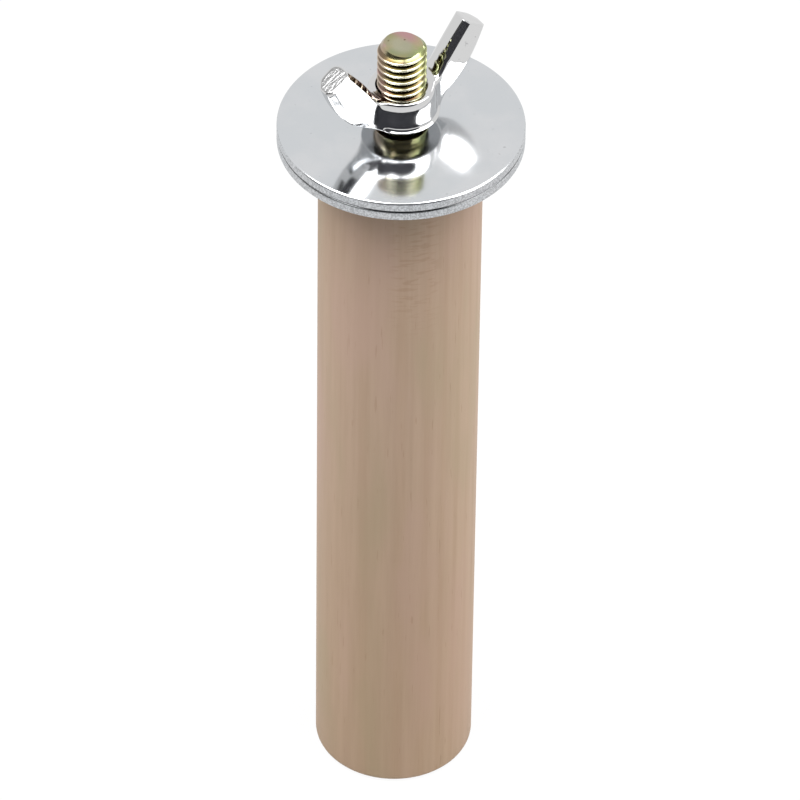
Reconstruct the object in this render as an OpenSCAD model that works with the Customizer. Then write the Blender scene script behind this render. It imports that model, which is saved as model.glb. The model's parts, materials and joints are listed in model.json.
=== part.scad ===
// Bird perch: a wooden rod with a stud in its end, two large washers and a wing nut
// The rod stands on its free end, with the stud pointing up along +Z
// The bars of a cage go between the two washers

/* [Rod] */
// Diameter of the wooden rod
rod_d = 20; // [14:0.5:28]
// Length of the wooden rod
rod_len = 100; // [50:1:300]
// Rounding of the edge at the free end
foot_round = 0.8; // [0.2:0.1:2]
// Rounding of the edge at the drilled end
head_round = 0.3; // [0.1:0.1:1]

/* [Stud] */
// Outer diameter of the machine thread
thread_d = 6; // [5.5:0.1:8]
// Diameter of the plain shank between the two threads
shank_d = 5.35; // [4.8:0.05:5.5]
// How far the stud stands out of the rod
stud_out = 15; // [12:0.5:30]
// Length of plain shank above the end of the rod
shank_out = 5.05; // [4.6:0.05:8]
// Length of plain shank inside the rod
shank_in = 5; // [2:0.5:10]
// Core diameter of the wood screw
screw_core_d = 4; // [3:0.1:4.6]
// Length of the wood screw, without its point
screw_len = 16; // [8:0.5:30]
// Length of the wood screw's point
screw_point = 4; // [2:0.5:8]
// Height of the chamfer on the free end
stud_chamfer = 0.9; // [0.3:0.1:1.5]
// How far that chamfer goes in from the thread
stud_chamfer_in = 0.75; // [0.3:0.05:1.5]

/* [Hole for the stud] */
// Clearance round the stud in the wood
hole_clear = 0.05; // [0.02:0.01:0.2]
// Depth of the hole beyond the point
hole_spare = 1; // [0.5:0.5:5]
// Point angle of the drill that made the hole
drill_angle = 118; // [90:1:140]

/* [Washers] */
// Outer diameter of both washers
washer_d = 30; // [22:0.5:40]
// Thickness of one washer
washer_t = 1.3; // [0.8:0.1:2]
// Diametral play of a washer's hole round the thread
washer_play = 0.4; // [0.2:0.1:1]
// Rounding of the punched edge, on the upper side
washer_round = 0.35; // [0.1:0.05:0.6]
// Chamfer of the lower edge
washer_break = 0.1; // [0.05:0.05:0.2]

/* [Hub of the wing nut] */
// Radial running clearance of the nut on the thread
nut_clear = 0.05; // [0.02:0.01:0.1]
// Height of the hub
hub_h = 3.5; // [2.6:0.1:5]
// Wall of the hub at its seat
hub_seat_wall = 1.6; // [1.2:0.1:3]
// Wall of the hub at its upper lip
hub_lip_wall = 1.15; // [0.9:0.05:2]
// Depth of the hollow round the hub
hub_hollow = 0.25; // [0:0.05:0.4]
// Rounding of the hub's two rims
hub_round = 0.3; // [0.1:0.05:0.6]
// Depth of the countersinks at both ends of the bore
sink_h = 0.5; // [0.2:0.1:1]
// How much wider than the bore they open
sink_out = 0.3; // [0.1:0.05:0.6]

/* [Wings] */
// Direction of the wings about the stud, from +X
wing_turn = 36; // [-90:1:90]
// Span over both wings
nut_span = 23.4; // [20:0.2:30]
// Height of the nut over its wings
nut_h = 10.6; // [9:0.1:16]
// Slope of the wings at their ends
wing_rise = 56; // [45:1:65]
// Width of a wing across its end
wing_w = 3.7; // [3:0.1:5]
// Thickness of a wing
wing_t = 3.2; // [2.2:0.1:4]
// Extra thickness to each side where a wing leaves the hub
root_flare = 0.6; // [0:0.1:0.8]
// How far the lower edge runs out beside the seat before it climbs
root_run = 4.4; // [2:0.1:6]
// Height of the lower edge at the end of that run
root_lift = 0.3; // [0.2:0.1:1.5]
// Bow of the upper edge of a wing
upper_bow = 0.3; // [0:0.05:0.8]
// Corner radius of the flat side, towards the stud
front_in_round = 0.4; // [0.1:0.1:1]
// Corner radius of the flat side, away from the stud
front_out_round = 1; // [0.1:0.1:1.2]
// Corner radius of the round side
back_round = 1.2; // [0.2:0.1:1.4]
// Chamfer round the end of a wing
tip_chamfer = 0.2; // [0.1:0.05:0.5]

/* [Hidden] */
$fn = 96;
// Overrun of every cut past the face that it leaves
over = 0.5;
// Heights along the stud, from the free end of the rod
stud_top = rod_len + stud_out;
thread_z = rod_len + shank_out;
outer_z = rod_len + washer_t;
nut_z = thread_z - sink_h;
screw_z = rod_len - shank_in;
point_z = screw_z - screw_len;
stud_z = point_z - screw_point;
// Radii of the nut's bore and hub
bore_r = thread_d / 2 + nut_clear;
seat_r = bore_r + hub_seat_wall;
lip_r = bore_r + hub_lip_wall;
sink_r = bore_r + sink_out;
// Points on an eighth of a turn of rounding, on the hub's hollow and on one wing
round_steps = 6;
hollow_steps = 8;
corner_steps = 3;
wing_steps = 10;
// Share of the wing over which its root flare dies out
flare_share = 0.4;
// Where in the hub's wall a wing's two edges start, as shares of wall and height
upper_start_shares = [0.3, 0.8];
lower_start_shares = [0.5, 0.03];

// Quarter circle about a centre, from one angle to another
function arc(c, r, from, to, steps) =
    [for (i = [0:steps]) c + r * [cos(from + (to - from) * i / steps), sin(from + (to - from) * i / steps)]];

// Point on a curve with one control point
function bend(a, b, c, u) = (1 - u) * (1 - u) * a + 2 * u * (1 - u) * b + u * u * c;

// Wooden rod, drilled up the drilled end for the shank and the wood screw
module perch_dowel() {
    pilot_r = screw_core_d / 2 + hole_clear;
    pilot_z = stud_z - hole_spare;
    drill_tip = pilot_r / tan(drill_angle / 2);
    color("burlywood")
    difference() {
        rotate_extrude()
            polygon(concat(
                [[0, 0]],
                arc([rod_d / 2 - foot_round, foot_round], foot_round, -90, 0, round_steps),
                arc([rod_d / 2 - head_round, rod_len - head_round], head_round, 0, 90, round_steps),
                [[0, rod_len]]));
        translate([0, 0, screw_z])
            cylinder(r = shank_d / 2 + hole_clear, h = shank_in + over);
        translate([0, 0, pilot_z])
            cylinder(r = pilot_r, h = screw_z - pilot_z + over);
        translate([0, 0, pilot_z - drill_tip])
            cylinder(r1 = 0, r2 = pilot_r, h = drill_tip);
    }
}

// Hanger bolt: wood screw below, plain shank, machine thread above
module hanger_bolt() {
    color("darkkhaki")
    rotate_extrude()
        polygon([
            [0, stud_z],
            [screw_core_d / 2, point_z],
            [screw_core_d / 2, screw_z],
            [shank_d / 2, screw_z],
            [shank_d / 2, thread_z],
            [thread_d / 2, thread_z],
            [thread_d / 2, stud_top - stud_chamfer],
            [thread_d / 2 - stud_chamfer_in, stud_top],
            [0, stud_top]]);
}

// Large punched washer, with its rounded edge up
module washer() {
    hole_r = (thread_d + washer_play) / 2;
    rotate_extrude()
        polygon(concat(
            [[hole_r, 0], [washer_d / 2 - washer_break, 0], [washer_d / 2, washer_break]],
            arc([washer_d / 2 - washer_round, washer_t - washer_round], washer_round, 0, 90, round_steps),
            arc([hole_r + washer_round, washer_t - washer_round], washer_round, 90, 180, round_steps)));
}

module inner_washer() {
    color("silver")
    translate([0, 0, rod_len])
        washer();
}

module outer_washer() {
    color("lightgray")
    translate([0, 0, outer_z])
        washer();
}

// Edges of a wing in its own plane: distance from the stud's axis and height over the seat
upper_start = [bore_r + hub_lip_wall * upper_start_shares[0], hub_h * upper_start_shares[1]];
lower_start = [bore_r + hub_seat_wall * lower_start_shares[0], hub_h * lower_start_shares[1]];
lower_tip = [nut_span / 2, nut_h - wing_w * cos(wing_rise)];
upper_tip = [nut_span / 2 - wing_w * sin(wing_rise), nut_h];
upper_bend = (upper_start + upper_tip) / 2 + 2 * upper_bow * [-sin(wing_rise), cos(wing_rise)];
lower_bend = [seat_r + root_run, root_lift];

// Thickness of a wing to each side at a share of its length
function half_t(u) = wing_t / 2 + root_flare * pow(max(0, 1 - u / flare_share), 2);

// Outline across a wing: flat side at -Y, round side at +Y, both edges given by half widths
function section(half_w, half_y) =
    let (
        in_r = min(front_in_round, half_w),
        out_r = min(front_out_round, half_w),
        back_r = min(back_round, half_w))
    concat(
        arc([half_w - in_r, in_r - half_y], in_r, 0, -90, corner_steps),
        arc([out_r - half_w, out_r - half_y], out_r, -90, -180, corner_steps),
        arc([back_r - half_w, half_y - back_r], back_r, 180, 90, corner_steps),
        arc([half_w - back_r, half_y - back_r], back_r, 90, 0, corner_steps));

// One ring of points round a wing, at a share of its length and drawn in all round by an inset
function wing_ring(u, inset) =
    let (
        a = bend(upper_start, upper_bend, upper_tip, u),
        b = bend(lower_start, lower_bend, lower_tip, u),
        mid = (a + b) / 2,
        w = (a - b) / norm(a - b))
    [for (p = section(norm(a - b) / 2 - inset, half_t(u) - inset)) [mid[0] + w[0] * p[0], p[1], mid[1] + w[1] * p[0]]];

// One wing, lofted from inside the hub's wall to its squarely cut end
module wing() {
    length = norm((upper_tip + lower_tip - upper_start - lower_start) / 2);
    end_share = 1 - tip_chamfer / length;
    rings = concat(
        [for (k = [0:wing_steps]) wing_ring(end_share * k / wing_steps, 0)],
        [wing_ring(1, tip_chamfer)]);
    sides = len(rings[0]);
    last = len(rings) - 1;
    polyhedron(
        points = [for (ring = rings) each ring],
        faces = concat(
            [for (k = [0:last - 1]) for (i = [0:sides - 1])
                [k * sides + i, (k + 1) * sides + i, k * sides + (i + 1) % sides]],
            [for (k = [0:last - 1]) for (i = [0:sides - 1])
                [(k + 1) * sides + i, (k + 1) * sides + (i + 1) % sides, k * sides + (i + 1) % sides]],
            [for (i = [1:sides - 2]) [0, i, i + 1]],
            [for (i = [1:sides - 2]) [last * sides, last * sides + i + 1, last * sides + i]]),
        convexity = 4);
}

// Hub of the wing nut, solid, with a hollow round its waist
module hub() {
    low = [seat_r, hub_round];
    high = [lip_r, hub_h - hub_round];
    middle = (low + high) / 2 - [2 * hub_hollow, 0];
    rotate_extrude()
        polygon(concat(
            [[0, 0]],
            arc([seat_r - hub_round, hub_round], hub_round, -90, 0, round_steps),
            [for (i = [1:hollow_steps - 1]) bend(low, middle, high, i / hollow_steps)],
            arc([lip_r - hub_round, hub_h - hub_round], hub_round, 0, 90, round_steps),
            [[0, hub_h]]));
}

// Bore of the nut with a countersink at each end
module nut_bore() {
    translate([0, 0, -over])
        cylinder(r = bore_r, h = nut_h + 2 * over);
    cylinder(r1 = sink_r, r2 = bore_r, h = sink_h);
    translate([0, 0, hub_h - sink_h])
        cylinder(r1 = bore_r, r2 = sink_r, h = sink_h);
}

module wing_nut() {
    color("gainsboro")
    translate([0, 0, nut_z])
    rotate([0, 0, wing_turn])
    difference() {
        union() {
            hub();
            wing();
            mirror([1, 0, 0])
                wing();
        }
        nut_bore();
    }
}

perch_dowel();
hanger_bolt();
inner_washer();
outer_washer();
wing_nut();
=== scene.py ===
import json
import math

import bmesh
import bpy
from mathutils import Matrix, Vector


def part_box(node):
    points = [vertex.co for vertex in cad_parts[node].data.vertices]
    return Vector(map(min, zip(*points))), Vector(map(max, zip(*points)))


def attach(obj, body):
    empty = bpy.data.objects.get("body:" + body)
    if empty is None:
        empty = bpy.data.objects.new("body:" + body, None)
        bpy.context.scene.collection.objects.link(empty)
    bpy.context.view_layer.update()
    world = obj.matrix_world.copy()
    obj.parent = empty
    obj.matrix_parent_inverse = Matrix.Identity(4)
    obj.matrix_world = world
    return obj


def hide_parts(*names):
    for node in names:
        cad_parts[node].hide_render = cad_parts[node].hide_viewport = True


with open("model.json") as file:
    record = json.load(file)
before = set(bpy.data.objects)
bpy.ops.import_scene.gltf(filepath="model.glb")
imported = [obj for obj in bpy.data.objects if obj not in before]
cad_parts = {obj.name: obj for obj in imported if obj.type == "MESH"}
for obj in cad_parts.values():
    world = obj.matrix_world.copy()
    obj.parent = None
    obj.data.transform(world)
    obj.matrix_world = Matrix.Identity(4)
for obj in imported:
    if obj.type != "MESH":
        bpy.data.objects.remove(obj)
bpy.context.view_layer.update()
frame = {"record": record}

MM = 0.001
TURN = 2 * math.pi

# Places that the frame gives
ROD_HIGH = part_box("perch_dowel")[1]
STUD_LOW, STUD_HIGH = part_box("hanger_bolt")
INNER_LOW, INNER_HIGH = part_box("inner_washer")
OUTER_LOW, OUTER_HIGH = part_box("outer_washer")
NUT_LOW, NUT_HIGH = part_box("wing_nut")
MOUNTS = {mount["name"]: mount for mount in frame["record"]["mounts"]}
THREAD_R = MOUNTS["stud_end"]["dims"]["r_mm"] * MM

# Rod and the hole drilled in its end
ROD_R = ROD_HIGH.x
FOOT_ROUND = 0.8 * MM
HEAD_ROUND = 0.3 * MM
HOLE_R = 2.725 * MM
HOLE_DEPTH = 5 * MM
PILOT_R = 2.05 * MM
PILOT_SPARE = 1 * MM
PILOT_TIP = 1.2 * MM

# Stud's core, from the screw's point up to the end
POINT_R = 0.1 * MM
SHANK_R = 2.675 * MM
SHANK_OUT = 5.05 * MM
SHANK_IN = 5 * MM
ROOT_R = 2.4 * MM
CORE_CHAMFER = 0.8 * MM
STUD_CHAMFER = 0.9 * MM
STUD_CHAMFER_IN = 0.75 * MM
NOSE_IN = 0.36 * MM
NOSE_DOWN = 0.58 * MM
# The end was cropped a little askew, lower on the right
CROP_TILT = math.radians(5)
CROP_FACING = Vector((math.sin(CROP_TILT), 0, math.cos(CROP_TILT)))
CROP_EDGE = Vector((STUD_CHAMFER_IN - THREAD_R, 0, STUD_HIGH.z - 0.01 * MM))

# Machine thread: its tooth's widths are shares of the pitch, and its round a share of the crest
PITCH = 1 * MM
CREST_R = THREAD_R - 0.02 * MM
TOOTH_FOOT = 0.94
TOOTH_CREST = 0.18
TOOTH_ROUND = 0.3
TOOTH_SUNK = 0.1 * MM
TOOTH_BURIED = 0.4 * MM
THREAD_STEPS = 72
# The thread's last turns run out below the nut
RUNOUT = 0.6 * MM
THREAD_TURNS = 13
# It starts on +X and faces the front at this height, a turn and a quarter from its top
CREST_Z = 114 * MM
THREAD_START = CREST_Z - (THREAD_TURNS - 1.25) * PITCH

# Wood screw, hidden in the rod
SCREW_CORE_R = 2 * MM
SCREW_CREST_R = 2.6 * MM
SCREW_ROOT_R = SCREW_CORE_R * 0.2
SCREW_FADE_R = SCREW_CORE_R * 0.9
SCREW_PITCH = 2.4 * MM
SCREW_FOOT = 0.5
SCREW_CREST = 0.06
SCREW_POINT = 4 * MM
SCREW_TIP_R = 0.3 * MM
SCREW_TIP_UP = 0.2 * MM
SCREW_FADE = 0.6 * MM
SCREW_TOP = ROD_HIGH.z - SHANK_IN - 1 * MM
GROOVE_DEEPER = 0.03 * MM
GROOVE_WIDER = 0.05 * MM

# Washers
WASHER_T = INNER_HIGH.z - INNER_LOW.z
WASHER_R = INNER_HIGH.x
WASHER_HOLE_R = 3.2 * MM
WASHER_ROUND = 0.35 * MM
WASHER_BREAK = 0.1 * MM

# Wing nut's hub, in its own frame: wings along X, flat sides at -Y, seat at zero
WING_TURN = 36
HUB_SIDES = 24
HUB_H = 4.1 * MM
SEAT_R = 4.65 * MM
LIP_R = 4.2 * MM
HOLLOW_R = 3 * MM
SEAT_EDGE = [(SEAT_R - 0.1 * MM, 0), (SEAT_R, 0.05 * MM)]
HUB_WALL = [
    (SEAT_R, 0.16 * MM),
    (4.25 * MM, 0.34 * MM),
    (4.2 * MM, 1.3 * MM),
    (4.24 * MM, HUB_H - 1.2 * MM),
    (LIP_R - 0.2 * MM, HUB_H - 0.2 * MM),
    (LIP_R - 0.35 * MM, HUB_H)]
BORE_R = 2.5 * MM
SINK_R = 3.2 * MM
TAP_R = BORE_R + 0.56 * MM
TAP_FOOT = 0.98
TAP_CREST = 0.26

# Wings: the root's corners and the bends of both edges, as distances from the axis and heights
NUT_SPAN = 23.1 * MM
NUT_H = NUT_HIGH.z - NUT_LOW.z
WING_RISE = math.radians(56)
WING_W = 3.7 * MM
WING_T = 3.2 * MM
ROOT_LEAD = math.radians(30)
ROOT_REACH = 2 * MM
ROOT_LOW = 0.2 * MM
ROOT_HIGH = HUB_H - 0.05 * MM
UPPER_START = Vector((LIP_R - 0.81 * MM, 2.8 * MM))
LOWER_START = Vector((SEAT_R - 0.8 * MM, 0.1 * MM))
LOWER_BEND = Vector((SEAT_R + 4.4 * MM, 0.3 * MM))
UPPER_BOW = 0.6 * MM
FIRST_STATION = 0.22
LATER_STATIONS = (0.4, 0.6, 0.8, 0.97, 1)
# The section's corners: a bevel below, a roof above, a flat side in front and a round back
LOWER_BEVEL = 1.05 * MM
ROOF_FOOT = 1.3 * MM
ROOF_SIDE = 0.8 * MM
FRONT_EDGE = 0.5 * MM
BACK_ROUND = 1 * MM
END_INSET = 0.25 * MM
END_RIM = 0.075 * MM
# Edges that stay crisp: sharp ones at the cut end, or in front and further out than the root
EDGE_CREASE = 0.6
SHARP = math.radians(22)
CRISP_FRONT = 0.1 * MM
CRISP_OUT = SEAT_R + 0.65 * MM

# Colours and grain of the wood
PALE_FIBRE = (0.452, 0.32, 0.224, 1)
PALER_FIBRE = (0.492, 0.352, 0.252, 1)
RING_TINT = (0.9, 0.86, 0.8, 1)
PINK_PATCH = (0.5, 0.34, 0.265, 1)
GREEN_PATCH = (0.42, 0.325, 0.21, 1)
PORE_TINT = (0.72, 0.62, 0.52, 1)
# Painted shade at the rod's top, under the washers
UNDER_WASHER_PAINTED_SHADE = (0.86, 0.72, 0.6, 1)
FOOT_TINT = (1, 0.97, 0.9, 1)
FLECK_TINT = (0.82, 0.76, 0.7, 1)
PITH = (19 * MM, 11 * MM, 0)
RING_WIDTH = 2.3 * MM
RING_SWAY = 4 * MM
RAY_SIDE = (0.98, 0.2, 0)

# Colours of the yellow plating
OLIVE_GOLD = (0.38, 0.33, 0.165, 1)
GREEN_GOLD = (0.28, 0.31, 0.17, 1)
PINK_CLOUD = (0.52, 0.3, 0.33, 1)
# Paler crests: wear and a painted highlight
CREST_WEAR_AND_HIGHLIGHT = (0.8, 0.77, 0.6, 1)
END_OLIVE = (0.42, 0.4, 0.3, 1)
END_BLUSH = (0.5, 0.28, 0.3, 1)
LEFT_PINK = (0.52, 0.36, 0.34, 1)
RIGHT_GREEN = (0.4, 0.45, 0.17, 1)
# Painted shade in the thread's valleys
VALLEY_PAINTED_SHADE = (0.16, 0.115, 0.06, 1)
GOLD_SPECK = (0.5, 0.45, 0.4, 1)

# Colours of the bright plating
WASHER_DULL = (0.6, 0.62, 0.64, 1)
WASHER_CLEAR = (0.64, 0.65, 0.665, 1)
WASHER_SPECK = (0.8, 0.8, 0.8, 1)
RIM_TINT = (0.66, 0.66, 0.66, 1)
# Painted shade in the gap between the washers
SEAM_PAINTED_SHADE = (0.1, 0.1, 0.1, 1)
NUT_BRIGHT = (0.62, 0.62, 0.62, 1)
NUT_SPECK = (0.5, 0.5, 0.52, 1)
SHEARED_TINT = (0.5, 0.5, 0.5, 1)

# Studio
WHITE = (1, 1, 1, 1)
FLOOR_GREY = (0.5, 0.5, 0.5, 1)
FLAG_BLUE_BLACK = (0.08, 0.08, 0.09, 1)
FLAG_BLACK = (0.08, 0.08, 0.08, 1)
SKY_STRENGTH = 0.27
FLOOR_WIDTH = 6
FLOOR_DROP = 0.1 * MM
FLOOR_GLOW = 1.05
GLOW_SHARE = 0.9
STUDIO_MIDDLE = Vector((0, 0, 80 * MM))


def arc(centre_r, centre_z, radius, start, end, steps=6):
    """Points of a round corner, from one angle in degrees to another."""
    angles = [math.radians(start + (end - start) * k / steps) for k in range(steps + 1)]
    return [(centre_r + radius * math.cos(a), centre_z + radius * math.sin(a)) for a in angles]


def deselect():
    bpy.ops.object.select_all(action="DESELECT")


def take(piece):
    """Makes a piece the only one that operators act on."""
    deselect()
    piece.select_set(True)
    bpy.context.view_layer.objects.active = piece


def open_piece(piece):
    """Opens a piece for edit-mode operators, with nothing selected in it."""
    take(piece)
    bpy.ops.object.mode_set(mode="EDIT")
    bpy.ops.mesh.select_all(action="DESELECT")


def pick(piece, kind, test):
    """Selects the vertices, edges or faces whose middle passes a test."""
    bpy.ops.mesh.select_mode(type=kind)
    bpy.ops.mesh.select_all(action="DESELECT")
    shape = bmesh.from_edit_mesh(piece.data)
    for part in {"VERT": shape.verts, "EDGE": shape.edges, "FACE": shape.faces}[kind]:
        corners = [part.co] if kind == "VERT" else [corner.co for corner in part.verts]
        if test(sum(corners, Vector()) / len(corners)):
            part.select_set(True)
    shape.select_flush_mode()
    bmesh.update_edit_mesh(piece.data)


def close_piece(piece, name, smooth=35):
    """Faces outwards, smooth shading up to an angle, and the object at the origin."""
    if bpy.context.mode == "EDIT_MESH":
        bpy.ops.mesh.select_all(action="SELECT")
        bpy.ops.mesh.remove_doubles(threshold=0.0005 * MM)
        bpy.ops.mesh.normals_make_consistent(inside=False)
        bpy.ops.object.mode_set(mode="OBJECT")
    take(piece)
    bpy.ops.object.transform_apply(location=True, rotation=True, scale=True)
    bpy.ops.object.shade_smooth_by_angle(angle=math.radians(smooth))
    piece.name = name
    return piece


def turned(name, profile, sides=128, ring=False):
    """A ring drawn up a profile of radii and heights: a closed ring, or a solid closed at both ends."""
    deselect()
    radius, height = profile[0]
    fill = "NOTHING" if ring else "NGON"
    bpy.ops.mesh.primitive_circle_add(vertices=sides, radius=radius, fill_type=fill, location=(0, 0, height))
    piece = bpy.context.object
    bpy.ops.object.mode_set(mode="EDIT")
    bpy.ops.mesh.select_mode(type="VERT")
    bpy.ops.mesh.select_all(action="SELECT")
    for next_radius, next_height in profile[1:] + profile[:1] * ring:
        bpy.ops.mesh.extrude_region_move(TRANSFORM_OT_translate={"value": (0, 0, next_height - height)})
        size = next_radius / radius
        bpy.ops.transform.resize(value=(size, size, 1), center_override=(0, 0, next_height))
        radius, height = next_radius, next_height
    return close_piece(piece, name)


def finish_with(piece, kind, **settings):
    """Adds a modifier to a piece and applies it."""
    modifier = piece.modifiers.new(kind.lower(), kind)
    for key, value in settings.items():
        setattr(modifier, key, value)
    take(piece)
    bpy.ops.object.modifier_apply(modifier=modifier.name)


def combine(piece, tool, operation):
    """Joins a tool to a piece, cuts it out or keeps what both share."""
    finish_with(piece, "BOOLEAN", object=tool, operation=operation, solver="EXACT")
    bpy.data.objects.remove(tool)
    open_piece(piece)
    bpy.ops.mesh.select_all(action="SELECT")
    bpy.ops.mesh.remove_doubles(threshold=0.002 * MM)
    bpy.ops.mesh.dissolve_degenerate(threshold=0.002 * MM)
    bpy.ops.object.mode_set(mode="OBJECT")


def tooth(root_r, crest_r, foot_w, crest_w, buried):
    """Closed outline of a thread's tooth on +X, its foot drawn down into the core where it is buried."""
    deselect()
    middle = ((root_r + crest_r) / 2, 0, 0)
    bpy.ops.mesh.primitive_plane_add(size=1, rotation=(TURN / 4, 0, 0), location=middle)
    piece = bpy.context.object
    piece.scale = (crest_r - root_r, foot_w, 1)
    bpy.ops.object.transform_apply(location=True, rotation=True, scale=True)
    open_piece(piece)
    pick(piece, "VERT", lambda at: at.x > middle[0])
    bpy.ops.transform.resize(value=(1, 1, crest_w / foot_w), center_override=middle)
    bpy.ops.mesh.bevel(offset=crest_w * TOOTH_ROUND, affect="VERTICES", segments=2)
    if buried:
        pick(piece, "VERT", lambda at: at.x < middle[0])
        bpy.ops.mesh.extrude_region_move(TRANSFORM_OT_translate={"value": (-buried, 0, 0)})
    pick(piece, "FACE", lambda at: True)
    bpy.ops.mesh.delete(type="ONLY_FACE")
    if buried:
        pick(piece, "EDGE", lambda at: abs(at.x - root_r) < buried / 10)
        bpy.ops.mesh.delete(type="EDGE")
    bpy.ops.object.mode_set(mode="OBJECT")
    return piece


def ridge(root_r, crest_r, pitch, foot_w, crest_w, start_z, turns, buried=0):
    """Thread: a tooth's outline wound up round Z and closed at both ends."""
    piece = tooth(root_r, crest_r, foot_w, crest_w, buried)
    finish_with(piece, "SCREW", axis="Z", angle=TURN, screw_offset=pitch, iterations=turns,
                steps=THREAD_STEPS, render_steps=THREAD_STEPS, use_smooth_shade=True)
    open_piece(piece)
    bpy.ops.mesh.select_all(action="SELECT")
    bpy.ops.mesh.fill_holes(sides=0)
    bpy.ops.mesh.select_all(action="SELECT")
    bpy.ops.transform.translate(value=(0, 0, start_z))
    return close_piece(piece, "ridge")


def screw_thread(crest_r, spare):
    """Thread of the wood screw, which narrows to its point and fades into the shank."""
    turns = int((SCREW_TOP - STUD_LOW.z) / SCREW_PITCH)
    start_z = STUD_LOW.z + SCREW_PITCH / 2
    thread = ridge(SCREW_ROOT_R, crest_r, SCREW_PITCH, SCREW_PITCH * SCREW_FOOT + spare,
                   SCREW_PITCH * SCREW_CREST + spare, start_z, turns)
    blank = turned("screw_blank", [
        (SCREW_TIP_R, STUD_LOW.z + SCREW_TIP_UP),
        (crest_r, STUD_LOW.z + SCREW_POINT),
        (crest_r, SCREW_TOP),
        (SCREW_FADE_R, SCREW_TOP + SCREW_FADE)])
    combine(thread, blank, "INTERSECT")
    return thread


def make_rod():
    """Wooden rod with rounded ends, drilled for the stud and cut by its screw."""
    top = ROD_HIGH.z
    pilot_z = STUD_LOW.z - PILOT_SPARE
    profile = arc(ROD_R - FOOT_ROUND, FOOT_ROUND, FOOT_ROUND, -90, 0)
    profile += arc(ROD_R - HEAD_ROUND, top - HEAD_ROUND, HEAD_ROUND, 0, 90)
    profile += [(HOLE_R, top), (HOLE_R, top - HOLE_DEPTH), (PILOT_R, top - HOLE_DEPTH)]
    profile += [(PILOT_R, pilot_z), (PILOT_R / 20, pilot_z - PILOT_TIP)]
    piece = turned("rod", profile)
    combine(piece, screw_thread(SCREW_CREST_R + GROOVE_DEEPER, GROOVE_WIDER), "DIFFERENCE")
    return close_piece(piece, "rod")


def stud_core(shank_top, runout):
    """Core of the stud, from the screw's point to the chamfered end."""
    shank_low = ROD_HIGH.z - SHANK_IN
    return turned("stud", [
        (POINT_R, STUD_LOW.z),
        (SCREW_CORE_R, STUD_LOW.z + SCREW_POINT),
        (SCREW_CORE_R, shank_low - runout),
        (SHANK_R, shank_low),
        (SHANK_R, shank_top - runout),
        (ROOT_R, shank_top),
        (ROOT_R, STUD_HIGH.z - CORE_CHAMFER),
        (THREAD_R - STUD_CHAMFER_IN - 0.02 * MM, STUD_HIGH.z)])


def machine_thread(shank_top, runout):
    """Thread of the stud, trimmed to the blank that it was rolled from."""
    thread = ridge(ROOT_R - TOOTH_SUNK, CREST_R, PITCH, PITCH * TOOTH_FOOT, PITCH * TOOTH_CREST,
                   THREAD_START, THREAD_TURNS, TOOTH_BURIED)
    blank_r = CREST_R + 0.01 * MM
    blank = turned("blank", [
        (SHANK_R * 0.99, OUTER_HIGH.z + 0.4 * MM),
        (SHANK_R + 0.1 * MM, shank_top - runout),
        (blank_r, shank_top + runout),
        (blank_r, STUD_HIGH.z - STUD_CHAMFER + 0.08 * MM),
        (CREST_R - NOSE_IN, STUD_HIGH.z - NOSE_DOWN),
        (THREAD_R - STUD_CHAMFER_IN, STUD_HIGH.z)])
    combine(thread, blank, "INTERSECT")
    return thread


def make_stud():
    """Hanger bolt: a core with both threads wound round it, and its end cropped."""
    shank_top = ROD_HIGH.z + SHANK_OUT - RUNOUT
    runout = SHANK_R - ROOT_R
    core = stud_core(shank_top, runout)
    combine(core, machine_thread(shank_top, runout), "UNION")
    combine(core, screw_thread(SCREW_CREST_R, 0), "UNION")
    half = 2 * THREAD_R
    bpy.ops.mesh.primitive_cube_add(size=2 * half, location=CROP_EDGE + CROP_FACING * half,
                                    rotation=(0, CROP_TILT, 0))
    combine(core, bpy.context.object, "DIFFERENCE")
    return close_piece(core, "stud", 30)


def make_washer(name, low_z):
    """Punched washer: rounded on the side that the punch came from."""
    top = low_z + WASHER_T
    profile = [(WASHER_HOLE_R, low_z), (WASHER_R - WASHER_BREAK, low_z), (WASHER_R, low_z + WASHER_BREAK)]
    profile += arc(WASHER_R - WASHER_ROUND, top - WASHER_ROUND, WASHER_ROUND, 0, 90)
    profile += arc(WASHER_HOLE_R + WASHER_ROUND, top - WASHER_ROUND, WASHER_ROUND, 90, 180)
    return turned(name, profile, sides=192, ring=True)


def curve(start, bend, end, share):
    """Point on a curve with one bend."""
    return (1 - share) ** 2 * start + 2 * share * (1 - share) * bend + share ** 2 * end


def wing_station(share):
    """Middle, slope and width of a wing at a share of its length, seen from its flat side."""
    out = Vector((math.cos(WING_RISE), math.sin(WING_RISE)))
    across = Vector((-out.y, out.x))
    lower_tip = Vector((NUT_SPAN / 2, NUT_H - WING_W * out.x))
    upper_tip = lower_tip + WING_W * across
    upper_bend = (UPPER_START + upper_tip) / 2 + UPPER_BOW * across
    upper = curve(UPPER_START, upper_bend, upper_tip, share)
    lower = curve(LOWER_START, LOWER_BEND, lower_tip, share)
    slope = math.atan2(upper.y - lower.y, upper.x - lower.x)
    return (upper + lower) / 2, slope, (upper - lower).length


def up_wing(x, z):
    """How far a place lies along the wing's straight stretch."""
    return math.cos(WING_RISE) * x + math.sin(WING_RISE) * z


def bring(piece, numbers, to, keep):
    """Selects numbered vertices and brings them to a place along the axes that aren't kept."""
    bpy.ops.mesh.select_all(action="DESELECT")
    shape = bmesh.from_edit_mesh(piece.data)
    shape.verts.ensure_lookup_table()
    for number in numbers:
        shape.verts[number].select_set(True)
    shape.select_flush_mode()
    bmesh.update_edit_mesh(piece.data)
    bpy.ops.transform.resize(value=keep, center_override=to)


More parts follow.
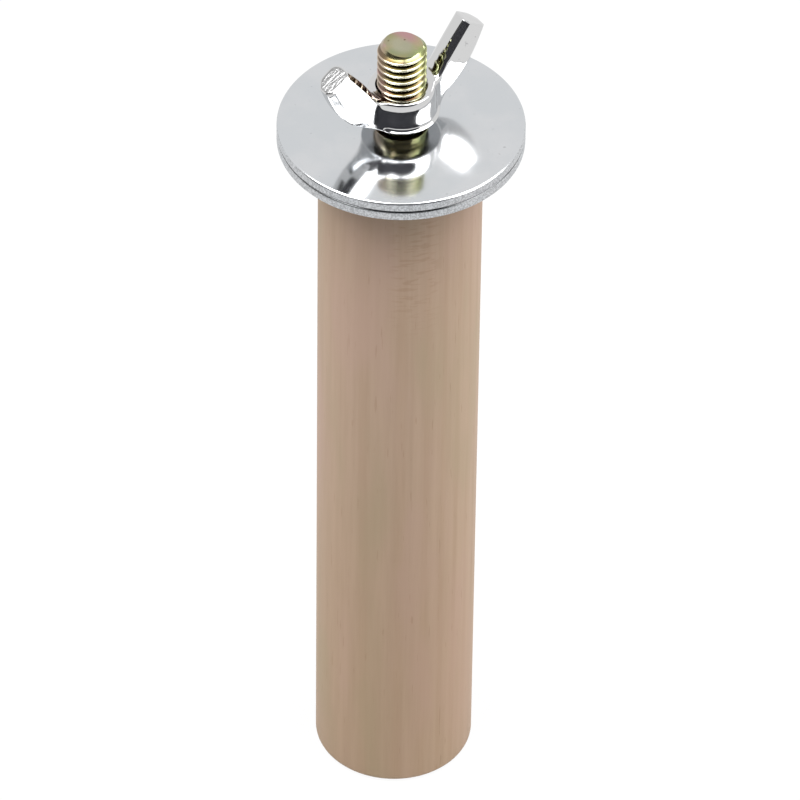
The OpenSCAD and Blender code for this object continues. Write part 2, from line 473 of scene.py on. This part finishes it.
def draw_root(piece, rings):
    """Draws a wing's root out of the hub's wall, and gives its vertices' numbers, row above row."""
    lead = math.tan(ROOT_LEAD)
    near = 0.05 * MM
    pick(piece, "FACE", lambda at: abs(at.y) < at.x * lead and ROOT_LOW < at.z < ROOT_HIGH)
    bpy.ops.mesh.extrude_region_move(TRANSFORM_OT_translate={"value": (ROOT_REACH, 0, 0)})
    bpy.ops.mesh.select_mode(type="VERT")
    shape = bmesh.from_edit_mesh(piece.data)
    drawn = [v for v in shape.verts if v.select]
    rows = []
    for radius, height in rings:
        row = [v for v in drawn if abs(v.co.z - height) < near
               and abs(math.hypot(v.co.x - ROOT_REACH, v.co.y) - radius) < near]
        rows.append([v.index for v in sorted(row, key=lambda v: v.co.y)])
    return rows


def shape_root(piece, rows):
    """Brings the root's rows and columns into the wing's section, and leaves them selected."""
    middle, slope, width = wing_station(FIRST_STATION)
    across = Vector((math.cos(slope), math.sin(slope)))
    half_w = width / 2
    heights = (-half_w, LOWER_BEVEL - half_w, 0, half_w - ROOF_FOOT, half_w - ROOF_SIDE, half_w)
    for row, height in zip(rows, heights):
        spot = middle + across * height
        bring(piece, row, (spot.x, 0, spot.y), (0, 1, 0))
    half_t = WING_T / 2
    for column, side in enumerate((-half_t, FRONT_EDGE - half_t, 0, half_t - BACK_ROUND, half_t)):
        bring(piece, [row[column] for row in rows], (0, side, 0), (1, 0, 1))
    # Row, column and how far in mm that corner moves up the section and towards the back:
    # a wide bevel below the flat side, a roofed upper edge and round corners at the back
    moves = ((0, 0, 0.08, 0.75), (0, 1, 0, 0.7), (0, 2, 0, 0.4), (0, 4, 0.6, -0.5),
             (5, 0, -0.5, 0), (5, 1, 0, 0.4), (5, 2, 0.02, 0), (5, 4, -0.45, -0.25), (4, 4, -0.3, 0))
    for row, column, up, back in moves:
        bring(piece, [rows[row][column]], (0, 0, 0), (1, 1, 1))
        step = across * up * MM
        bpy.ops.transform.translate(value=(step.x, back * MM, step.y))
    bring(piece, [number for row in rows for number in row], (0, 0, 0), (1, 1, 1))


def lengthen_wing():
    """Draws the selected root out to the wing's end, whose cut face has a raised rim."""
    middle, slope, width = wing_station(FIRST_STATION)
    bpy.ops.mesh.select_mode(type="FACE")
    for share in LATER_STATIONS:
        next_middle, next_slope, next_width = wing_station(share)
        step = next_middle - middle
        bpy.ops.mesh.extrude_region_move(TRANSFORM_OT_translate={"value": (step.x, 0, step.y)})
        pivot = (next_middle.x, 0, next_middle.y)
        bpy.ops.transform.rotate(value=next_slope - slope, orient_axis="Y", center_override=pivot)
        size = next_width / width
        bpy.ops.transform.resize(value=(size, 1, size), center_override=pivot)
        middle, slope, width = next_middle, next_slope, next_width
    bpy.ops.mesh.inset(thickness=END_INSET)
    bpy.ops.transform.translate(value=(END_RIM * math.cos(WING_RISE), 0, END_RIM * math.sin(WING_RISE)))


def crease_wing(piece):
    """Keeps the edges of the cut end and of the flat side crisper than the rest."""
    end_middle = wing_station(1)[0]
    end = up_wing(end_middle.x, end_middle.y) - END_RIM
    bpy.ops.mesh.select_mode(type="EDGE")
    bpy.ops.mesh.select_all(action="DESELECT")
    for edge in bmesh.from_edit_mesh(piece.data).edges:
        at = (edge.verts[0].co + edge.verts[1].co) / 2
        front = at.y < CRISP_FRONT and at.x > CRISP_OUT
        if edge.calc_face_angle() > SHARP and (up_wing(at.x, at.z) > end or front):
            edge.select_set(True)
    bmesh.update_edit_mesh(piece.data)
    bpy.ops.transform.edge_crease(value=EDGE_CREASE)


def tap_nut(piece):
    """Bores the hub right through, with a countersink at both ends, and cuts its thread."""
    spare = 0.5 * MM
    depth = SINK_R - BORE_R
    top = NUT_LOW.z + HUB_H
    bore = turned("bore", [
        (SINK_R + spare, NUT_LOW.z - spare),
        (BORE_R, NUT_LOW.z + depth),
        (BORE_R, top - depth),
        (SINK_R + spare, top + spare)], 96)
    groove = ridge(ROOT_R - TOOTH_SUNK, TAP_R, PITCH, PITCH * TAP_FOOT, PITCH * TAP_CREST,
                   THREAD_START, THREAD_TURNS)
    combine(piece, bore, "DIFFERENCE")
    combine(piece, groove, "DIFFERENCE")


def make_nut():
    """Forged wing nut: wings drawn out of a hollow hub, rounded over, then bored and tapped."""
    # Rounding over draws a ring in, so that it starts wider by this much
    swell = 1 / (2 / 3 + math.cos(TURN / HUB_SIDES) / 3)
    profile = [(HOLLOW_R, 0)] + SEAT_EDGE + HUB_WALL + [(HOLLOW_R, HUB_H)]
    rings = [(radius * swell, height) for radius, height in HUB_WALL]
    piece = turned("wing_nut", [(radius * swell, height) for radius, height in profile], HUB_SIDES)
    open_piece(piece)
    shape_root(piece, draw_root(piece, rings))
    lengthen_wing()
    crease_wing(piece)
    bpy.ops.mesh.select_all(action="SELECT")
    bpy.ops.mesh.bisect(plane_co=(0, 0, 0), plane_no=(1, 0, 0), clear_inner=True)
    bpy.ops.object.mode_set(mode="OBJECT")
    finish_with(piece, "MIRROR", use_clip=True, merge_threshold=0.001 * MM)
    finish_with(piece, "SUBSURF", levels=3, render_levels=3)
    turn = Matrix.Rotation(math.radians(WING_TURN), 4, "Z")
    piece.matrix_world = Matrix.Translation((0, 0, NUT_LOW.z)) @ turn
    close_piece(piece, "nut")
    tap_nut(piece)
    return close_piece(piece, "nut", 32)


def make_camera():
    """The photograph's viewpoint: a long lens, looking down at the perch."""
    elevation = 42.602
    roll = 0.753
    distance = 992.572 * MM
    aim = Vector((0.3, -1.404, 58.473)) * MM
    tip = Matrix.Rotation(math.radians(90 - elevation), 4, "X")
    turn = tip @ Matrix.Rotation(math.radians(roll), 4, "Z")
    camera = bpy.data.cameras.new("camera")
    camera.lens = 360.48
    camera.sensor_width = 36
    camera.clip_start = 0.01
    holder = bpy.data.objects.new("camera", camera)
    holder.matrix_world = Matrix.Translation(aim) @ turn @ Matrix.Translation((0, 0, distance))
    bpy.context.scene.collection.objects.link(holder)
    bpy.context.scene.camera = holder


def place_round(azimuth, elevation, distance):
    """Place and facing of a lamp or card that looks at the perch, azimuth from +X towards +Y."""
    a, e = math.radians(azimuth), math.radians(elevation)
    out = Vector((math.cos(a) * math.cos(e), math.sin(a) * math.cos(e), math.sin(e)))
    facing = out.to_track_quat("Z", "Y").to_matrix().to_4x4()
    return Matrix.Translation(STUDIO_MIDDLE + out * distance) @ facing


def softbox(name, azimuth, elevation, distance, width, height, power):
    """A lamp that looks at the perch and isn't seen by the camera."""
    lamp = bpy.data.lights.new(name, "AREA")
    lamp.shape = "RECTANGLE"
    lamp.size = width
    lamp.size_y = height
    lamp.energy = power
    holder = bpy.data.objects.new(name, lamp)
    holder.matrix_world = place_round(azimuth, elevation, distance)
    holder.visible_camera = False
    bpy.context.scene.collection.objects.link(holder)


def new_material(name):
    """A material with its node tree and its shader."""
    material = bpy.data.materials.new(name)
    material.use_nodes = True
    tree = material.node_tree
    return material, tree, tree.nodes["Principled BSDF"]


def node(tree, kind, inputs=None, **settings):
    """A node with some sockets set to values or joined to other nodes' sockets."""
    made = tree.nodes.new("ShaderNode" + kind)
    for key, value in settings.items():
        setattr(made, key, value)
    for key, value in (inputs or {}).items():
        if isinstance(value, bpy.types.NodeSocket):
            tree.links.new(value, made.inputs[key])
        else:
            made.inputs[key].default_value = value
    return made


def maths(tree, operation, first, second=0):
    return node(tree, "Math", {0: first, 1: second}, operation=operation).outputs[0]


def stretched(tree, vector, x, y, z):
    """A place with its parts multiplied, so that a pattern there is drawn out along a small one."""
    return node(tree, "VectorMath", {0: vector, 1: (x, y, z)}, operation="MULTIPLY").outputs[0]


def noise(tree, vector, scale, detail=3, roughness=0.5):
    return node(tree, "TexNoise", {"Vector": vector, "Scale": scale, "Detail": detail,
                                   "Roughness": roughness}).outputs[0]


def ramp(tree, value, low, high, to_low=0, to_high=1):
    """A value's range spread smoothly over another range."""
    made = node(tree, "MapRange", {0: value, 1: low, 2: high, 3: to_low, 4: to_high},
                interpolation_type="SMOOTHSTEP")
    return made.outputs[0]


def blend(tree, share, first, second):
    """One colour turning into another."""
    return node(tree, "Mix", {0: share, 6: first, 7: second}, data_type="RGBA").outputs[2]


def darken(tree, colour, share, tint):
    """A colour multiplied by a tint where a mask is one."""
    made = node(tree, "Mix", {0: share, 6: colour, 7: tint}, data_type="RGBA", blend_type="MULTIPLY")
    return made.outputs[2]


def place(tree):
    """Where a point of the piece lies."""
    return node(tree, "TexCoord").outputs["Object"]


def part_of(tree, at, axis):
    """A place's X, Y or Z."""
    return node(tree, "SeparateXYZ", {0: at}).outputs[axis]


def along(tree, vector, direction):
    """How far a place lies along a direction."""
    return node(tree, "VectorMath", {0: vector, 1: direction}, operation="DOT_PRODUCT").outputs["Value"]


def from_axis(tree, at):
    """How far a place lies from the rod's axis."""
    return node(tree, "VectorMath", {0: stretched(tree, at, 1, 1, 0)}, operation="LENGTH").outputs["Value"]


def feed(tree, shader, **links):
    """Joins sockets to the shader's inputs, whose names have spaces instead of underscores."""
    for key, value in links.items():
        tree.links.new(value, shader.inputs[key.replace("_", " ")])


def bump(tree, height, strength, distance):
    return node(tree, "Bump", {"Height": height, "Strength": strength, "Distance": distance}).outputs[0]


def make_matte(shader, colour):
    """Sets a shader to a plain colour with no shine."""
    shader.inputs["Base Color"].default_value = colour
    shader.inputs["Roughness"].default_value = 1
    shader.inputs["Specular IOR Level"].default_value = 0


def card(name, azimuth, elevation, distance, width, height, colour):
    """A studio card that shows in the metal and shades the front, and isn't seen by the camera."""
    deselect()
    bpy.ops.mesh.primitive_plane_add(size=1)
    piece = bpy.context.object
    piece.name = name
    piece.matrix_world = place_round(azimuth, elevation, distance) @ Matrix.Diagonal((width, height, 1, 1))
    material, _, shader = new_material(name)
    make_matte(shader, colour)
    piece.data.materials.append(material)
    piece.visible_camera = False


def seen(tree):
    """One for rays from the camera, from gloss and through glass, which see the plain white background."""
    path = node(tree, "LightPath")
    gloss = maths(tree, "MAXIMUM", path.outputs["Is Glossy Ray"], path.outputs["Is Transmission Ray"])
    return maths(tree, "MAXIMUM", path.outputs["Is Camera Ray"], gloss)


def make_floor():
    """Pale floor that keeps the perch's shadow."""
    deselect()
    bpy.ops.mesh.primitive_plane_add(size=FLOOR_WIDTH, location=(0, 0, -FLOOR_DROP))
    piece = bpy.context.object
    piece.name = "floor"
    material, tree, shader = new_material("floor")
    make_matte(shader, FLOOR_GREY)
    glow = node(tree, "Emission", {"Color": WHITE, "Strength": FLOOR_GLOW})
    share = maths(tree, "MULTIPLY", seen(tree), GLOW_SHARE)
    mixed = node(tree, "MixShader", {0: share, 1: shader.outputs[0], 2: glow.outputs[0]})
    tree.links.new(mixed.outputs[0], tree.nodes["Material Output"].inputs["Surface"])
    piece.data.materials.append(material)


def make_world():
    """Soft even light from all round, and a white background."""
    world = bpy.data.worlds.new("studio")
    world.use_nodes = True
    tree = world.node_tree
    light = tree.nodes["Background"]
    light.inputs["Color"].default_value = WHITE
    light.inputs["Strength"].default_value = SKY_STRENGTH
    white = node(tree, "Background", {"Color": WHITE, "Strength": 1.0})
    mixed = node(tree, "MixShader", {0: seen(tree), 1: light.outputs[0], 2: white.outputs[0]})
    tree.links.new(mixed.outputs[0], tree.nodes["World Output"].inputs["Surface"])
    bpy.context.scene.world = world


def wear_group():
    """Clouds, specks and fine scratches that every plated piece shows."""
    group = bpy.data.node_groups.new("plating_wear", "ShaderNodeTree")
    for name in ("Clouds", "Specks", "Scratches"):
        group.interface.new_socket(name, in_out="OUTPUT", socket_type="NodeSocketFloat")
    at = place(group)
    clouds = ramp(group, noise(group, at, scale=160, detail=4, roughness=0.55), 0.35, 0.68)
    specks = ramp(group, noise(group, at, scale=1500, detail=2), 0.7, 0.78)
    long_one = noise(group, stretched(group, at, 0.05, 1.3, 1), scale=1800, detail=2)
    long_two = noise(group, stretched(group, at, 1.1, 0.06, 1), scale=1500, detail=2)
    lines = maths(group, "MAXIMUM", ramp(group, long_one, 0.66, 0.74), ramp(group, long_two, 0.68, 0.76))
    scuffed = ramp(group, noise(group, at, scale=90), 0.5, 0.65)
    scratches = maths(group, "MULTIPLY", lines, scuffed)
    end = group.nodes.new("NodeGroupOutput")
    for name, value in (("Clouds", clouds), ("Specks", specks), ("Scratches", scratches)):
        group.links.new(value, end.inputs[name])
    return group


def wear(tree, group):
    """The wear group placed in a material."""
    made = tree.nodes.new("ShaderNodeGroup")
    made.node_tree = group
    return made.outputs


def growth_rings(tree, at, drawn_out):
    """Rings round a pith outside the rod, swaying a little up the grain."""
    sway = noise(tree, drawn_out, scale=60, detail=2)
    pith = node(tree, "VectorMath", {0: stretched(tree, at, 1, 1, 0), 1: PITH}, operation="DISTANCE")
    swayed = node(tree, "Math", {0: sway, 1: RING_SWAY, 2: pith.outputs["Value"]}, operation="MULTIPLY_ADD")
    return maths(tree, "SINE", maths(tree, "MULTIPLY", swayed.outputs[0], TURN / RING_WIDTH))


def ray_flecks(tree, at, height):
    """Short cross flecks where the cut shows the rays, at the front below the washers."""
    flecks = ramp(tree, noise(tree, stretched(tree, at, 1, 1, 5), scale=520, detail=2), 0.52, 0.62)
    side = maths(tree, "ABSOLUTE", along(tree, at, RAY_SIDE))
    figured = maths(tree, "MULTIPLY", ramp(tree, side, 4 * MM, 1.5 * MM, 0, 0.45),
                    ramp(tree, height, 74 * MM, 86 * MM))
    return maths(tree, "MULTIPLY", flecks, figured)


def make_wood():
    """Pale sanded wood: growth rings, long fibres, pink and green patches and short dark pores, and painted
    shade at the top under the washers.
    """
    material, tree, shader = new_material("pale_wood")
    at = place(tree)
    height = part_of(tree, at, "Z")
    drawn_out = stretched(tree, at, 1, 1, 0.04)
    fibres = noise(tree, drawn_out, scale=900, detail=5, roughness=0.65)
    blotches = noise(tree, stretched(tree, at, 1, 1, 0.22), scale=110, detail=3)
    pores = ramp(tree, noise(tree, stretched(tree, at, 1, 1, 0.09), scale=2800, detail=1), 0.68, 0.78)
    colour = blend(tree, ramp(tree, fibres, 0.3, 0.7), PALE_FIBRE, PALER_FIBRE)
    colour = darken(tree, colour, ramp(tree, growth_rings(tree, at, drawn_out), 0.2, 1, 0, 0.3), RING_TINT)
    colour = blend(tree, ramp(tree, blotches, 0.5, 0.66, 0, 0.6), colour, PINK_PATCH)
    colour = blend(tree, ramp(tree, blotches, 0.5, 0.34, 0, 0.6), colour, GREEN_PATCH)
    colour = darken(tree, colour, maths(tree, "MULTIPLY", pores, 0.3), PORE_TINT)
    # Painted shade: darker towards the top, under the washers
    colour = darken(tree, colour, ramp(tree, height, 96 * MM, 100 * MM, 0, 0.6), UNDER_WASHER_PAINTED_SHADE)
    colour = darken(tree, colour, ramp(tree, height, 75 * MM, 5 * MM), FOOT_TINT)
    colour = darken(tree, colour, ray_flecks(tree, at, height), FLECK_TINT)
    relief = maths(tree, "SUBTRACT", fibres, pores)
    feed(tree, shader, Base_Color=colour, Normal=bump(tree, relief, strength=0.25, distance=0.06 * MM))
    shader.inputs["Roughness"].default_value = 0.55
    shader.inputs["Specular IOR Level"].default_value = 0.35
    return material


def end_tints(tree, at, colour, on_end, radius):
    """Olive middle of the cropped end, and a pink blush at its back right."""
    middle = maths(tree, "MULTIPLY", on_end, ramp(tree, radius, 2.2 * MM, 0.8 * MM, 0, 0.8))
    colour = blend(tree, middle, colour, END_OLIVE)
    back_right = along(tree, at, (0.5, 0.87, 0))
    blush = maths(tree, "MULTIPLY", on_end, ramp(tree, back_right, 0.4 * MM, 1.8 * MM, 0, 0.9))
    return blend(tree, blush, colour, END_BLUSH)


def painted_valley_shade(tree, height, aside, radius, on_end):
    """Mask of the painted shade in the thread's valleys, above the nut's seat and below the end's chamfer.
    """
    top = STUD_HIGH.z
    deep = maths(tree, "MULTIPLY", ramp(tree, radius, CREST_R - 0.07 * MM, CREST_R - 0.15 * MM, 0, 0.98),
                 ramp(tree, height, top - 0.45 * MM, top - 0.9 * MM, 0.1, 1))
    deep = maths(tree, "MULTIPLY", deep, ramp(tree, aside, 1.3 * MM, 2.6 * MM, 1, 0.7))
    deep = maths(tree, "MINIMUM", deep, ramp(tree, on_end, 0, 1, 1, 0))
    return maths(tree, "MULTIPLY", deep, ramp(tree, height, NUT_LOW.z, NUT_LOW.z + 0.5 * MM))


def make_yellow_zinc(group):
    """Chromate plating: olive gold with green and pink tints, crests paler from wear and a painted
    highlight, and painted shade in the valleys.
    """
    material, tree, shader = new_material("yellow_zinc")
    at = place(tree)
    side = part_of(tree, at, "X")
    height = part_of(tree, at, "Z")
    aside = maths(tree, "ABSOLUTE", side)
    radius = from_axis(tree, at)
    end = CROP_FACING.dot(CROP_EDGE)
    on_end = ramp(tree, along(tree, at, CROP_FACING), end - 0.04 * MM, end - 0.01 * MM)
    greens = noise(tree, at, scale=260, detail=2)
    pinks = noise(tree, at, scale=330, detail=3)
    colour = blend(tree, ramp(tree, greens, 0.4, 0.6), OLIVE_GOLD, GREEN_GOLD)
    colour = blend(tree, ramp(tree, pinks, 0.55, 0.66, 0, 0.6), colour, PINK_CLOUD)
    # Paler crests, partly wear and partly a painted highlight, weaker towards the sides
    crest_wear_and_highlight = maths(tree, "MULTIPLY", ramp(tree, aside, 1.4 * MM, 2.7 * MM, 1, 0.3),
                 ramp(tree, radius, CREST_R - 0.15 * MM, CREST_R - 0.08 * MM, 0, 0.92))
    colour = blend(tree, crest_wear_and_highlight, colour, CREST_WEAR_AND_HIGHLIGHT)
    colour = end_tints(tree, at, colour, on_end, radius)
    colour = blend(tree, ramp(tree, side, -1.2 * MM, -2.6 * MM, 0, 0.5), colour, LEFT_PINK)
    colour = blend(tree, ramp(tree, side, 0.8 * MM, 2.4 * MM, 0, 0.5), colour, RIGHT_GREEN)
    # Painted shade in the thread's valleys, none below the nut's seat
    colour = darken(tree, colour, painted_valley_shade(tree, height, aside, radius, on_end), VALLEY_PAINTED_SHADE)
    marks = wear(tree, group)
    colour = darken(tree, colour, marks["Specks"], GOLD_SPECK)
    rough = ramp(tree, marks["Clouds"], 0, 1, 0.16, 0.26)
    relief = bump(tree, noise(tree, at, scale=1300), strength=0.15, distance=0.05 * MM)
    feed(tree, shader, Base_Color=colour, Roughness=rough, Normal=relief)
    shader.inputs["Metallic"].default_value = 1
    return material


def make_washer_zinc(group):
    """Smooth bright plating on the flats, grainy where the punch sheared the rim, and painted shade in the
    gap between the two washers.
    """
    material, tree, shader = new_material("washer_zinc")
    at = place(tree)
    height = part_of(tree, at, "Z")
    radius = from_axis(tree, at)
    marks = wear(tree, group)
    rim = ramp(tree, radius, WASHER_R - 0.12 * MM, WASHER_R - 0.03 * MM)
    grain = noise(tree, at, scale=4500, detail=2)
    # Painted shade in the narrow gap between the two washers' rims
    by_seam = node(tree, "Math", {0: height, 1: OUTER_LOW.z, 2: 0.16 * MM}, operation="COMPARE").outputs[0]
    outer = ramp(tree, radius, WASHER_R - 0.5 * MM, WASHER_R - 0.3 * MM, 0, 0.9)
    seam_shade = maths(tree, "MULTIPLY", by_seam, outer)
    colour = blend(tree, marks["Clouds"], WASHER_DULL, WASHER_CLEAR)
    colour = darken(tree, colour, maths(tree, "MULTIPLY", rim, ramp(tree, grain, 0.4, 0.6)), RIM_TINT)
    colour = darken(tree, colour, seam_shade, SEAM_PAINTED_SHADE)
    colour = darken(tree, colour, marks["Specks"], WASHER_SPECK)
    smooth = ramp(tree, marks["Clouds"], 0, 1, 0.11, 0.15)
    rough = maths(tree, "MAXIMUM", smooth, maths(tree, "MULTIPLY", rim, 0.4))
    relief = maths(tree, "MULTIPLY", rim, grain)
    relief = maths(tree, "SUBTRACT", relief, maths(tree, "MULTIPLY", marks["Scratches"], 0.06))
    surface = bump(tree, relief, strength=0.3, distance=0.03 * MM)
    feed(tree, shader, Base_Color=colour, Roughness=rough, Normal=surface)
    shader.inputs["Metallic"].default_value = 1
    return material


def sheared_end(tree, at):
    """Mask of the left wing's cut end, and the streaks that the shears left on it."""
    turn = math.radians(WING_TURN)
    run, rise = math.cos(WING_RISE), math.sin(WING_RISE)
    outward = Vector((-math.cos(turn) * run, -math.sin(turn) * run, rise))
    tip = outward.dot(Vector((-math.cos(turn) * NUT_SPAN / 2, -math.sin(turn) * NUT_SPAN / 2,
                              NUT_HIGH.z - WING_W * run)))
    mask = ramp(tree, along(tree, at, outward), tip + 0.03 * MM, tip + 0.06 * MM)
    # Directions whose lengths are the streaks' fineness through the wing and across it
    through = Vector((-math.sin(turn), math.cos(turn), 0)) * 3000
    across = outward.cross(through) * 0.3
    spot = node(tree, "CombineXYZ", {0: along(tree, at, through), 1: along(tree, at, across)}).outputs[0]
    return mask, noise(tree, spot, scale=1)


def make_bright_zinc(group):
    """Mirror-bright plating with a few specks, and one wing's end left rough by the shears."""
    material, tree, shader = new_material("bright_zinc")
    at = place(tree)
    marks = wear(tree, group)
    sheared, streaks = sheared_end(tree, at)
    waves = noise(tree, at, scale=500, detail=1)
    colour = darken(tree, NUT_BRIGHT, marks["Specks"], NUT_SPECK)
    colour = darken(tree, colour, sheared, SHEARED_TINT)
    smooth = ramp(tree, marks["Clouds"], 0, 1, 0.03, 0.06)
    rough = maths(tree, "MAXIMUM", smooth, maths(tree, "MULTIPLY", sheared, 0.2))
    streaked = maths(tree, "MULTIPLY", maths(tree, "MULTIPLY", streaks, sheared), 0.3)
    relief = maths(tree, "ADD", streaked, maths(tree, "MULTIPLY", waves, 0.2))
    surface = bump(tree, relief, strength=1, distance=0.2 * MM)
    feed(tree, shader, Base_Color=colour, Roughness=rough, Normal=surface)
    shader.inputs["Metallic"].default_value = 1
    return material


def dress(piece, body, cad_node, material):
    """Gives a piece its material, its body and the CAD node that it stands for."""
    piece.data.materials.clear()
    piece.data.materials.append(material)
    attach(piece, body)
    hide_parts(cad_node)


bpy.context.scene.view_settings.view_transform = "Standard"
make_camera()
make_world()
make_floor()
softbox("right_softbox", azimuth=-10, elevation=56, distance=0.6, width=0.45, height=0.6, power=4.85)
softbox("left_softbox", azimuth=201, elevation=62, distance=0.7, width=0.5, height=0.5, power=6.15)
softbox("top_softbox", azimuth=-66, elevation=79, distance=0.6, width=0.2, height=0.22, power=0.25)
card("front_flag", azimuth=-86, elevation=29, distance=0.6, width=1.25, height=0.65, colour=FLAG_BLUE_BLACK)
card("left_flag", azimuth=203, elevation=12, distance=0.6, width=0.42, height=0.48, colour=FLAG_BLACK)

wood = make_wood()
plating = wear_group()
yellow_zinc = make_yellow_zinc(plating)
washer_zinc = make_washer_zinc(plating)
bright_zinc = make_bright_zinc(plating)
dress(make_rod(), "perch", "perch_dowel", wood)
dress(make_stud(), "perch", "hanger_bolt", yellow_zinc)
dress(make_washer("lower_washer", INNER_LOW.z), "inner_washer", "inner_washer", washer_zinc)
dress(make_washer("upper_washer", OUTER_LOW.z), "outer_washer", "outer_washer", washer_zinc)
dress(make_nut(), "wing_nut", "wing_nut", bright_zinc)
